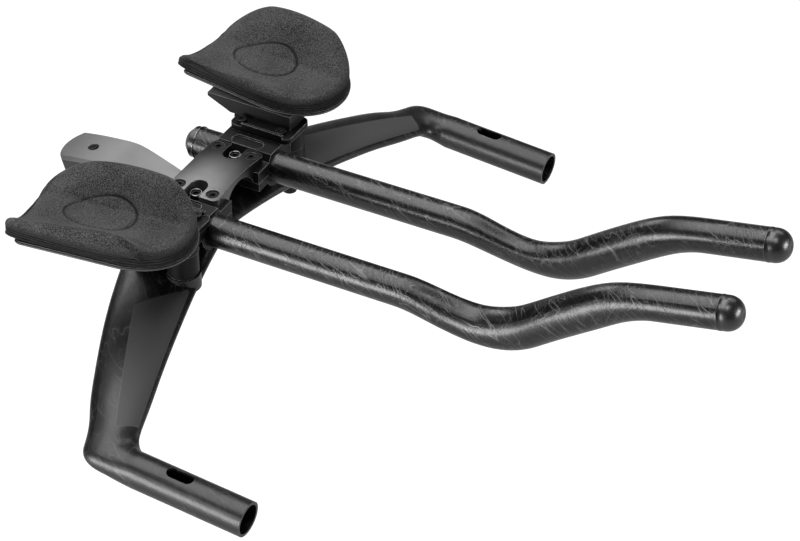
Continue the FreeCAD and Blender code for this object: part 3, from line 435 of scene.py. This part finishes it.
def padSurface(name):
    # a square grid pulled to the outline makes the top and the underside; rings between them go round the roll,
    # down the side and round the foot
    n = padding["grid"]
    u, v = np.meshgrid(np.linspace(-1, 1, n), np.linspace(-1, 1, n))
    disc = np.stack([u * np.sqrt(1 - v ** 2 / 2), v * np.sqrt(1 - u ** 2 / 2)], -1).reshape(-1, 2)
    turns = np.arctan2(disc[:, 1], disc[:, 0]) / (2 * np.pi)
    share = np.linalg.norm(disc, axis=1, keepdims=True)
    outline, outward = outlineAt(turns, sides[name])
    centre = np.array([0.0, padding["centre"] * armrest["length"]])
    flatTop = centre + (outline - outward * padding["roll"] - centre) * share
    flatUnder = centre + (outline - outward * padding["footRoll"] - centre) * share
    top = np.column_stack([flatTop, padTop(*flatTop.T, name)])
    under = np.column_stack([flatUnder, dishHeight(flatUnder[:, 0]) + armrest["seat"]])
    index = np.arange(n * n).reshape(n, n)
    loop = np.concatenate([index[0, :-1], index[:-1, -1], index[-1, :0:-1], index[:0:-1, 0]])
    edge, out, high = outline[loop], outward[loop], top[loop, 2]
    foot = dishHeight(edge[:, 0]) + armrest["seat"]
    roll = np.minimum(padding["roll"], padding["rollShare"] * (high - foot))
    wall = high - roll - foot - padding["footRoll"]
    layers = np.minimum(padding["layers"], padding["layerShare"] * wall)
    nRoll, nWall, nLayer, nFoot = padding["rings"]
    rings = []
    for angle in np.linspace(0, np.pi / 2, nRoll + 1)[1:]:
        flat = edge - out * (padding["roll"] * (1 - np.sin(angle)))
        rings.append(np.column_stack([flat, high - roll * (1 - np.cos(angle))]))
    for down in np.linspace(0, 1, nWall + 1)[1:]:
        rings.append(np.column_stack([edge, foot + padding["footRoll"] + wall * (1 - down) + layers * down]))
    for down in np.linspace(0, 1, nLayer + 1)[1:]:
        rings.append(np.column_stack([edge, foot + padding["footRoll"] + layers * (1 - down)]))
    heights = [ring[:, 2] - foot for ring in rings]
    for angle in np.linspace(0, np.pi / 2, nFoot + 1)[1:-1]:
        flat = edge - out * (padding["footRoll"] * (1 - np.cos(angle)))
        rings.append(np.column_stack([flat, foot + padding["footRoll"] * (1 - np.sin(angle))]))
        heights.append(np.zeros(len(loop)))
    points = np.concatenate([top] + rings + [under])
    height = np.concatenate([np.full(n * n, onTop)] + heights + [np.full(n * n, underneath)])
    firstUnder = len(points) - n * n
    between = np.arange(n * n, firstUnder).reshape(len(rings), len(loop))
    rows = np.concatenate([loop[None], between, loop[None] + firstUnder])
    after = np.roll(rows, -1, axis=1)
    band = np.stack([rows[:-1], rows[1:], after[1:], after[:-1]], -1).reshape(-1, 4)
    lid = np.stack([index[:-1, :-1], index[:-1, 1:], index[1:, 1:], index[1:, :-1]], -1).reshape(-1, 4)
    return points, height, np.concatenate([lid, band, lid[:, ::-1] + firstUnder])


def placeArmrest(points, faces, side):  # pitched and yawed from the armrest's frame to the bar's, mirrored for the left
    across, along, up = points[:, 0], points[:, 1], points[:, 2] - armrest["rimHeight"]
    cp, sp = math.cos(armrest["pitch"]), math.sin(armrest["pitch"])
    along, up = along * cp + up * sp, up * cp - along * sp
    cy, sy = math.cos(armrest["yaw"]), math.sin(armrest["yaw"])
    x = armrest["x"] + across * cy - along * sy
    y = armrest["y"] + across * sy + along * cy
    placed = np.column_stack([x * side, y, up + armrest["rimHeight"]])
    return placed, (faces[:, ::-1] if side < 0 else faces).tolist()


def vertexArray(mesh, what="co"):  # places or normals of all vertices
    flat = np.empty(len(mesh.vertices) * 3)
    mesh.vertices.foreach_get(what, flat)
    return flat.reshape(-1, 3)


def moveVertices(mesh, points):
    mesh.vertices.foreach_set("co", points.ravel())
    mesh.update()


def applyModifiers(piece):  # the shape with its modifiers becomes the mesh
    depsgraph = bpy.context.evaluated_depsgraph_get()
    made = bpy.data.meshes.new_from_object(piece.evaluated_get(depsgraph))
    piece.modifiers.clear()
    piece.data = made


def meshPiece(name, points, faces):  # a smooth-shaded object from arrays
    mesh = bpy.data.meshes.new(name)
    mesh.from_pydata(points.tolist(), [], faces)
    mesh.polygons.foreach_set("use_smooth", np.ones(len(mesh.polygons), bool))
    piece = bpy.data.objects.new(name, mesh)
    bpy.context.scene.collection.objects.link(piece)
    return piece


def swell(piece, held):  # cloth under pressure, held at the foot, its movement capped
    start = vertexArray(piece.data)
    piece.vertex_groups.new(name="held").add(np.flatnonzero(held).tolist(), 1.0, "REPLACE")
    cloth = piece.modifiers.new("cloth", "CLOTH")
    cloth.settings.use_pressure = True
    cloth.settings.uniform_pressure_force = padding["pressure"]
    cloth.settings.vertex_group_mass = "held"
    cloth.settings.effector_weights.gravity = 0.0
    cloth.point_cache.frame_start = 1
    cloth.point_cache.frame_end = padding["frames"]
    for step in range(1, padding["frames"] + 1):
        bpy.context.scene.frame_set(step)
    applyModifiers(piece)
    bpy.context.scene.frame_set(1)
    piece.vertex_groups.clear()
    move = vertexArray(piece.data) - start
    length = np.linalg.norm(move, axis=1, keepdims=True)
    moveVertices(piece.data, start + move * np.minimum(1.0, padding["cap"] / np.maximum(length, 1e-9)))


def armrestPad(name):  # one pad shape for both arms: the left one is built flipped, as its armrest is mirrored
    side = sides[name]
    local, height, faces = padSurface(name)
    pad = meshPiece("knitPad_" + name, *placeArmrest(local, faces, side))
    held = height < padding["footRoll"]
    inward = vertexArray(pad.data, "normal") * padding["drawIn"]
    inward[held] = 0
    moveVertices(pad.data, vertexArray(pad.data) - inward)
    swell(pad, held)
    shape = pad.data.attributes.new("shape", "FLOAT_VECTOR", "POINT")
    shape.data.foreach_set("vector", np.column_stack([local[:, 0] * side, local[:, 1], height]).ravel())
    finer = pad.modifiers.new("finer", "SUBSURF")
    finer.levels = finer.render_levels = 1
    applyModifiers(pad)
    # pressed lines: three round the side between the layers, one plain egg on top, each a bell curve of the way off it
    shape = np.empty(len(pad.data.vertices) * 3)
    pad.data.attributes["shape"].data.foreach_get("vector", shape)
    across, along, height = shape.reshape(-1, 3).T
    lines = np.exp(-((height[:, None] - np.array(padding["lines"])) / padding["lineWidth"]) ** 2).max(axis=1)
    along = (along - padding["eggAlong"]) / padding["eggHalfAlong"]
    halfAcross = padding["eggHalfAcross"] * (1 + padding["eggLean"] * np.clip(along, -1, 1))
    across = (across - padding["eggAcross"]) / halfAcross
    off = (np.hypot(across, along) - 1) * padding["eggHalfAcross"]
    egg = np.where(height > onTop / 2, np.exp(-(off / padding["eggWidth"]) ** 2), 0)
    depth = lines * padding["lineDepth"] + egg * padding["eggDepth"]
    moveVertices(pad.data, vertexArray(pad.data) - vertexArray(pad.data, "normal") * depth[:, None])
    foot = (1 - smoothStep(height, *padding["footFade"])) * (height > underneath / 10)
    # marks: pressed carries the painted shade of the grooves, layer makes the foot darker
    for mark, amount in (("pressed", np.maximum(lines, padding["eggShade"] * egg)), ("layer", foot)):
        pad.data.attributes.new(mark, "FLOAT", "POINT").data.foreach_set("value", amount)
    pad.data.materials.append(knit)
    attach(pad, "root")
    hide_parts("pad_" + name)


for name in sides:
    armrestPad(name)
print("pads swollen")


def addPiece(name, points, faces, material, slot, *stands):  # a finished piece that rides on the bar
    piece = meshPiece(name, points, faces)
    piece.data.materials.append(material)
    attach(piece, "root")
    if stands:
        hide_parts(*stands)


def turned(radius, height, base, direction, steps=96, ring=False):
    # every profile point carried round the line: base + height along it + radius times the turning direction
    axis = np.array(direction) / np.linalg.norm(direction)
    aside = (0.6, 0.0, -0.8)  # any direction well away from the axis
    first = np.cross(axis, aside)
    first /= np.linalg.norm(first)
    turn = np.linspace(0, 2 * np.pi, steps, endpoint=False)
    spoke = np.cos(turn)[:, None] * first + np.sin(turn)[:, None] * np.cross(axis, first)
    points = np.array(base) + height[:, None, None] * axis + radius[:, None, None] * spoke
    rows = np.arange(len(radius) * steps).reshape(len(radius), steps)
    below = rows if ring else rows[:-1]
    above = np.roll(rows, -1, axis=0) if ring else rows[1:]
    band = np.stack([below, np.roll(below, -1, axis=1), np.roll(above, -1, axis=1), above], -1).reshape(-1, 4).tolist()
    return points.reshape(-1, 3), band if ring else band + [rows[0, ::-1].tolist(), rows[-1].tolist()]


# Rubber end caps: a proud lip at the tube, a short skirt, a round dome with a small dimple at the tip
cap = {"base": (37.896 * mm, 464.494 * mm, 116.899 * mm), "towards": (-0.0139, 0.978, 0.208), "radius": 11.1 * mm,
       "inner": 1 * mm, "lip": 0.2 * mm, "lipLength": 1.2 * mm, "skirt": 4.0 * mm, "dome": 10.5 * mm, "fullness": 0.86,
       "dimple": 0.8 * mm, "dimpleReach": 2.0 * mm, "tip": 0.15 * mm, "domeSteps": 40, "lipSteps": 9}


def capProfile():  # half a sine for the lip, then a quarter oval less a bell-shaped dimple
    turn = np.linspace(0, np.pi / 2, cap["domeSteps"])[:-1]
    dome = cap["radius"] * np.cos(turn) ** cap["fullness"]
    rise = cap["skirt"] + cap["dome"] * np.sin(turn) - cap["dimple"] * np.exp(-(dome / cap["dimpleReach"]) ** 2)
    lip = np.linspace(0, np.pi, cap["lipSteps"])
    radius = np.concatenate([[cap["inner"]], cap["radius"] + cap["lip"] * np.sin(lip), dome, [cap["tip"]]])
    height = np.concatenate([[0], cap["lipLength"] * (1 - np.cos(lip)) / 2, rise, [rise[-1]]])
    return radius, height


for name, side in sides.items():
    mirror = np.array([side, 1, 1])
    points, faces = turned(*capProfile(), np.array(cap["base"]) * mirror, np.array(cap["towards"]) * mirror)
    addPiece("domeCap_" + name, points, faces, blackRubber, "cap_rubber", "front_cap_" + name)

# Bright rings: on the heads of the two middle clamp bolts, and round each tube where its rear plug begins
rings = {"boltRing": {"base": (24.8 * mm, 84 * mm, 63.45 * mm), "towards": (0, 0, 1), "radius": 3.8 * mm,
                      "thick": 0.42 * mm, "steps": 72, "roundSteps": 16},
         "plugRing": {"base": (41 * mm, 45.7 * mm, 50.33 * mm), "towards": (0, 0.9998, 0.0175), "radius": 11.5 * mm,
                      "thick": 0.35 * mm, "steps": 72, "roundSteps": 16}}
brightSteel = finishMaterial("brightSteel")
for kind, ring in rings.items():
    turn = np.linspace(0, 2 * np.pi, ring["roundSteps"], endpoint=False)
    for name, side in sides.items():
        points, faces = turned(ring["radius"] + ring["thick"] * np.cos(turn), ring["thick"] * np.sin(turn),
                               np.array(ring["base"]) * (side, 1, 1), ring["towards"], ring["steps"], ring=True)
        addPiece(kind + "_" + name, points, faces, brightSteel, "bolt_steel")

# Rolled edge of each cup: a thin round bead along its rim, straight sides, round nose, small corners at the back
bead = {"radius": 0.45 * mm, "rear": 7 * mm, "corner": 5.45 * mm, "height": 1.3 * mm, "noseSteps": 90,
        "cornerSteps": 12, "points": 240, "steps": 12}


def cupBead(name, side, material):
    # a half circle and two quarter circles joined by straight lines, walked evenly, with a small circle carried along
    reach = armrest["halfWidth"] + armrest["cupMargin"] + bead["radius"]
    nose = armrest["length"] - armrest["halfWidth"]
    arc = np.linspace(0, np.pi, bead["noseSteps"])
    bend = np.linspace(0, np.pi / 2, bead["cornerSteps"])
    small, back = bead["corner"], bead["rear"] - bead["radius"]
    across = np.concatenate([reach * np.cos(arc), -reach + small * (1 - np.cos(bend)),
                             reach - small * (1 - np.sin(bend))])
    along = np.concatenate([nose + reach * np.sin(arc), back + small * (1 - np.sin(bend)),
                            back + small * (1 - np.cos(bend))])
    walked = np.concatenate([[0], np.cumsum(np.hypot(np.diff(across, append=across[0]),
                                                     np.diff(along, append=along[0])))])
    even = np.linspace(0, walked[-1], bead["points"], endpoint=False)
    across, along = (np.interp(even, walked, np.append(line, line[0])) for line in (across, along))
    stepX = np.roll(across, -1) - np.roll(across, 1)
    stepY = np.roll(along, -1) - np.roll(along, 1)
    outX, outY = stepY / np.hypot(stepX, stepY), -stepX / np.hypot(stepX, stepY)
    turn = np.linspace(0, 2 * np.pi, bead["steps"], endpoint=False)
    level = dishHeight(across) + bead["height"]
    points = np.stack([across[:, None] + bead["radius"] * outX[:, None] * np.cos(turn),
                       along[:, None] + bead["radius"] * outY[:, None] * np.cos(turn),
                       level[:, None] + bead["radius"] * np.sin(turn)], -1).reshape(-1, 3)
    rows = np.arange(len(points)).reshape(-1, bead["steps"])
    ahead = np.roll(rows, -1, axis=0)
    faces = np.stack([rows, ahead, np.roll(ahead, -1, axis=1), np.roll(rows, -1, axis=1)], -1).reshape(-1, 4)
    addPiece("cupBead_" + name, *placeArmrest(points, faces, side), material, "cup_shell")


paleNylon = finishMaterial("paleNylon")
for name, side in sides.items():
    cupBead(name, side, paleNylon)
print("caps, rings and beads made")
